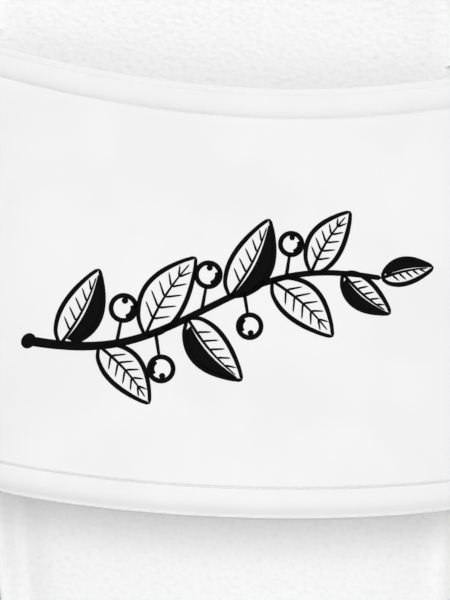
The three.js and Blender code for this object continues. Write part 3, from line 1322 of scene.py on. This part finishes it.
@dataclass
class Drawing:
    """Flat line drawing in ink, laid over the panel as a thin film.

    Args:
        form: The band.
        proud: Height of the film's top over the panel.
        sunk: Depth of its underside.
        point_step: Distance between the points of a stroke.
        end_points: Points over which a stroke's end is rounded.
        bluntness: Least share of its width at the end, squared.
        parts: What was drawn so far.
    """

    form: BandForm
    proud: float = 0.035
    sunk: float = 0.03
    point_step: float = 0.45
    end_points: float = 3.0
    bluntness: float = 0.02
    parts: list[bpy.types.Object] = field(default_factory=list)

    def onto(self, flat: np.ndarray, height: float) -> np.ndarray:
        """Lays drawing points onto the panel, as seen from above.

        Args:
            flat: Points of the drawing, from the panel's middle.
            height: Height over the panel.

        Returns:
            The points in space.
        """
        x = flat[..., 0]
        y = flat[..., 1] + self.form.middle_y
        return self.form.raised(self.form.across_at(x, y), y, np.full_like(x, height))

    def stroke(self, points: list[tuple[float, float]], widths: tuple[float, ...]) -> None:
        """Adds a stroke along a smooth line.

        Args:
            points: Points on the line.
            widths: Widths along it, evenly spaced.
        """
        line = smooth_line(points, self.point_step)
        heading = np.gradient(line, axis=0)
        heading /= np.linalg.norm(heading, axis=1, keepdims=True)
        normal = np.stack([-heading[:, 1], heading[:, 0]], axis=1)
        share = np.linspace(0, 1, len(line))
        half = np.interp(share, np.linspace(0, 1, len(widths)), widths)[:, None] / 2
        from_end = share * (1 - share) * 4 * len(line) / self.end_points
        round_end = np.sqrt(np.clip(from_end, self.bluntness, 1))[:, None]
        left = line + normal * half * round_end
        right = line - normal * half * round_end
        top, low = self.proud, -self.sunk
        rows = [self.onto(left, top), self.onto(line, top), self.onto(right, top)]
        rows += [self.onto(right, low), self.onto(left, low)]
        self.parts.append(skin("ink_stroke", np.stack(rows, axis=1), capped=True))

    def blob(self, outline: np.ndarray) -> None:
        """Adds a filled shape.

        Args:
            outline: Its outline, star-shaped about its middle.
        """
        middle = outline.mean(axis=0)
        rings = [middle + (outline - middle) * share for share in (0.0, 0.35, 0.7, 1.0)]
        rows = [self.onto(ring, self.proud) for ring in rings]
        rows += [self.onto(ring, -self.sunk) for ring in rings[::-1]]
        self.parts.append(skin("ink_blob", np.stack(rows)))

    def dot(self, x: float, y: float, size: float, stretch: float = 1.0, turn: float = 0.0) -> None:
        """Adds a filled oval.

        Args:
            x: Place across the panel.
            y: Place along the panel.
            size: Its width.
            stretch: Its length over its width.
            turn: Heading of its length, in radians.
        """
        angle = np.linspace(0, 2 * math.pi, 20, endpoint=False)
        oval = np.stack([np.cos(angle) * stretch, np.sin(angle)], axis=1) * size / 2
        spin = np.array([[math.cos(turn), math.sin(turn)], [-math.sin(turn), math.cos(turn)]])
        self.blob(oval @ spin + (x, y))

    def joined(self, name: str) -> bpy.types.Object:
        """Joins every part of the drawing.

        Args:
            name: Name of the new object.

        Returns:
            The drawing as one object.
        """
        work = bmesh.new()
        for part in self.parts:
            work.from_mesh(part.data)
            bpy.data.objects.remove(part)
        return moulded(name, work)


def around(centre: np.ndarray, radius: float, angles: Any) -> list[tuple[float, float]]:
    """Returns points on a circle."""
    return [tuple(centre + np.array([math.cos(angle), math.sin(angle)]) * radius) for angle in angles]


def smooth_line(points: list[tuple[float, float]], step: float) -> np.ndarray:
    """Runs a smooth line through points.

    Args:
        points: The points.
        step: Rough distance between the returned points.

    Returns:
        The line's points.
    """
    given = np.array(points, float)
    padded = np.vstack([2 * given[0] - given[1], given, 2 * given[-1] - given[-2]])
    parts = []
    for before, here, after, beyond in zip(padded, padded[1:], padded[2:], padded[3:]):
        count = max(2, int(np.linalg.norm(after - here) / step))
        parts.append(through(before, here, after, beyond, (np.arange(count) / count)[:, None]))
    return np.vstack([*parts, given[-1:]])


@dataclass
class Sprig(Drawing):
    """A leafy twig with berries, across the panel.

    Args:
        line: Width of the outlines.
        fine: Width of the veins where they are widest.
        twig_from: Where the twig begins, from the panel's middle.
        twig_to: Where it ends.
        twig_sway: How far it bows to each side.
        twig_widths: Its widths from end to end.
        twig_end: Width, stretch and turn of the oval at its beginning.
        leaf_width: Half of a leaf's width over its length.
        tip: Share of an outline's width at its ends.
        veins: First and last place of the veins along a leaf, and their spacing.
        vein_lean: How far a vein runs towards the leaf's tip.
        vein_reach: How far it runs out to the leaf's edge.
        vein_tip: Its width there.
        dark_along: Where the filled half begins and ends along a leaf.
        dark_across: The same from its midrib to its edge.
        shade_from: Heading of a berry's filled crescent from its stalk, in radians.
        shade_half: Half of the angle it spans.
        shade_radii: Its outer and inner radius over the berry's width.
        leaves: Each leaf's place on the twig, heading, length, bend and dark side.
        berries: Each berry's place on the twig, stalk and width.
    """

    line: float = 0.85
    fine: float = 0.42
    twig_from: tuple[float, float] = (-34.5, -7.5)
    twig_to: tuple[float, float] = (27.5, 3.5)
    twig_sway: float = 3.2
    twig_widths: tuple[float, ...] = (1.7, 1.3, 1.1, 0.9)
    twig_end: tuple[float, float, float] = (2.4, 1.2, 0.9)
    leaf_width: float = 0.23
    tip: float = 0.7
    veins: tuple[float, float, float] = (0.2, 0.8, 0.13)
    vein_lean: float = 0.12
    vein_reach: float = 0.7
    vein_tip: float = 0.24
    dark_along: tuple[float, float] = (0.1, 0.93)
    dark_across: tuple[float, float] = (0.16, 0.9)
    shade_from: float = 1.9
    shade_half: float = 0.8
    shade_radii: tuple[float, float] = (0.46, 0.28)
    leaves: tuple[tuple[float, ...], ...] = (
        (0.09, 1.1, 15.0, -0.05, -1.0),
        (0.2, -0.85, 13.5, 0.05, 0.0),
        (0.33, 1.0, 16.5, 0.05, 0.0),
        (0.45, -0.85, 14.5, -0.05, -1.0),
        (0.57, 1.1, 15.5, -0.05, -1.0),
        (0.69, -0.75, 14.5, 0.05, 0.0),
        (0.8, 1.0, 13.0, 0.05, 0.0),
        (0.89, -0.7, 11.0, -0.05, -1.0),
        (1.0, 0.2, 9.5, 0.04, 1.0),
    )
    berries: tuple[tuple[float, tuple[float, float], float], ...] = (
        (0.25, (1.2, 6.2), 4.4),
        (0.49, (1.2, 6.4), 4.2),
        (0.73, (0.9, 5.8), 3.8),
        (0.36, (1.0, -6.4), 4.2),
        (0.61, (1.0, -6.2), 4.0),
    )

    def twig(self, share: float) -> np.ndarray:
        """Returns a point of the twig's main stem."""
        straight = blend(np.array(self.twig_from), np.array(self.twig_to), share)
        return straight - (0.0, self.twig_sway * math.sin(2 * math.pi * share))

    def leaf(self, base: np.ndarray, heading: float, length: float, bend: float, dark: float) -> None:
        """Draws a leaf.

        Args:
            base: Where it leaves the twig.
            heading: Its direction, in radians.
            length: Its length.
            bend: How much its midrib curves.
            dark: Side that is filled with ink, 1 or -1, or 0 for neither.
        """
        along = np.array([math.cos(heading), math.sin(heading)])
        beside = np.array([-along[1], along[0]])

        def at(share: float, side: float) -> tuple[float, float]:
            """Finds a point of the leaf.

            Args:
                share: Share of the way along the midrib.
                side: From -1 to 1 across.

            Returns:
                The point.
            """
            width = self.leaf_width * length * math.sin(math.pi * share**0.8) ** 0.85
            sway = bend * length * math.sin(math.pi * share)
            return tuple(base + along * (share * length) + beside * (sway + side * width))

        for side in (1.0, -1.0):
            edge = [at(share, side) for share in np.linspace(0, 1, 11)]
            self.stroke(edge, (self.line * self.tip, self.line, self.line, self.line * self.tip))
            if side == dark:
                shares = np.linspace(*self.dark_along, 16)
                near, far = self.dark_across
                inner = [at(share, near * side) for share in shares]
                outer = [at(share, far * side) for share in shares[::-1]]
                self.blob(np.array(inner + outer))
            else:
                for share in np.arange(*self.veins):
                    end = at(min(share + self.vein_lean, 0.95), self.vein_reach * side)
                    self.stroke([at(share, 0.0), end], (self.fine, self.vein_tip))
        midrib = [at(share, 0.0) for share in np.linspace(0, 0.9, 5)]
        self.stroke(midrib, (self.line * self.tip, self.fine, 0.25))

    def berry(self, base: np.ndarray, stalk: tuple[float, float], size: float) -> None:
        """Draws a berry on its stalk.

        Args:
            base: Where the stalk leaves the twig.
            stalk: From there to the berry's middle.
            size: The berry's width.
        """
        centre = base + np.array(stalk)
        away = np.array(stalk) / np.linalg.norm(stalk)
        self.stroke(around(centre, size / 2, np.linspace(0, 2.15 * math.pi, 40)), (self.line, self.line))
        self.stroke([tuple(base), tuple(centre - away * size * 0.46)], (self.line * 0.8, self.line * 0.6))
        self.dot(*(centre + away * size * 0.3), size * 0.26)
        shade = math.atan2(away[1], away[0]) - self.shade_from
        arc = [shade + step for step in np.linspace(-self.shade_half, self.shade_half, 9)]
        far, near = (size * radius for radius in self.shade_radii)
        self.blob(np.array(around(centre, far, arc) + around(centre, near, arc[::-1])))

    def build(self) -> bpy.types.Object:
        """Draws the twig.

        Returns:
            The drawing.
        """
        self.stroke([tuple(self.twig(share)) for share in np.linspace(0, 1, 13)], self.twig_widths)
        self.dot(*self.twig(0.0), *self.twig_end)
        for share, *leaf in self.leaves:
            self.leaf(self.twig(share), *leaf)
        for share, stalk, size in self.berries:
            self.berry(self.twig(share), stalk, size)
        return self.joined("ink_drawing")


# Studio


@dataclass
class Studio:
    """Pale floor, soft lights from above, the toe, the heel and both sides, and a camera looking down.

    Args:
        aim: Where the camera and the lights point.
        frame_height: Height of what the camera sees there.
        lens: Its focal length.
        sensor: Its sensor's width.
        floor_reach: How far the floor reaches from its middle, in metres.
        surround: Strength of the even light from all round.
        lights: Each light's name, its place and width in metres, and its power in watts.
    """

    aim: tuple[float, float, float] = (0.0, 21.65, 77.0)
    frame_height: float = 105.3
    lens: float = 250.0
    sensor: float = 36.0
    floor_reach: float = 4.0
    surround: float = 0.24
    lights: tuple[tuple[str, tuple[float, float, float], float, float], ...] = (
        ("key_light", (0.0, 0.19, 1.9), 0.4, 10.8),
        ("wide_light", (0.05, 0.16, 1.9), 1.2, 9.6),
        ("toe_light", (-0.2, 1.9, 0.75), 0.8, 11.0),
        ("heel_light", (0.0, -1.45, 1.35), 0.8, 2.8),
        ("outer_light", (1.6, -0.1, 0.5), 0.8, 7.2),
        ("inner_light", (-1.6, -0.1, 0.55), 0.8, 5.5),
    )

    def floor(self) -> None:
        """Adds the floor."""
        work = bmesh.new()
        bmesh.ops.create_grid(work, x_segments=1, y_segments=1, size=self.floor_reach)
        floor = moulded("floor", work)
        finish = Finish("pale_floor")
        finish.colour(finish.noise(finish.place(), 3.0), grey(0.8), grey(0.83))
        finish.constant(Roughness=0.8)
        floor.data.materials.append(finish.material)

    def light(self, name: str, place: tuple[float, float, float], size: float, watts: float) -> None:
        """Adds a round soft light that points at the band.

        Args:
            name: The light's name.
            place: Where it hangs, in metres.
            size: Its width, in metres.
            watts: Its power.
        """
        data = bpy.data.lights.new(name, "AREA")
        data.shape = "DISK"
        data.size = size
        data.energy = watts
        lamp = placed(name, data)
        target = type(lamp.location)(value * MM for value in self.aim)
        lamp.location = place
        lamp.rotation_euler = (target - lamp.location).to_track_quat("-Z", "Y").to_euler()

    def surroundings(self) -> None:
        """Adds even white light from all round."""
        world = bpy.data.worlds.new("soft_white")
        world.use_nodes = True
        backdrop = world.node_tree.nodes["Background"]
        backdrop.inputs["Color"].default_value = (1.0, 1.0, 1.0, 1.0)
        backdrop.inputs["Strength"].default_value = self.surround
        bpy.context.scene.world = world

    def camera(self) -> None:
        """Adds the camera."""
        data = bpy.data.cameras.new("camera")
        data.lens = self.lens
        data.sensor_width = self.sensor
        data.clip_end = 100.0
        camera = placed("camera", data)
        distance = self.lens / self.sensor * self.frame_height
        camera.location = (self.aim[0] * MM, self.aim[1] * MM, (self.aim[2] + distance) * MM)
        bpy.context.scene.camera = camera

    def build(self) -> None:
        """Builds the whole studio."""
        self.floor()
        for light in self.lights:
            self.light(*light)
        self.surroundings()
        self.camera()
        bpy.context.scene.view_settings.view_transform = "Standard"


def main() -> None:
    """Builds the slide piece by piece and then the studio."""
    outline, form = Outline(), SoleForm()
    band = BandForm(outline)
    smooth = SmoothSkin().build()
    foam = SmoothSkin(name="midsole_foam_skin", roughness=0.5, depth=0.012).build()
    dress(Outsole(outline, form, band).build(), TreadRubber().build(), "outsole_rubber", "outsole")
    dress(Midsole(outline, form, band).build(), foam, "midsole_foam", "midsole")
    dress(Footbed(outline, form, band).build(), LeatherGrain().build(), "footbed_foam", "footbed")
    dress(BandShell(band).build(), smooth, "band_skin", "band_shell")
    dress(BandLining(band).build(), KnitLining().build(), "lining", "band_lining")
    dress(Sprig(band).build(), BlackInk().build(), "ink")
    Studio().build()


if __name__ == "__main__":
    logging.basicConfig(level=logging.INFO, format="%(name)s: %(message)s")
    main()
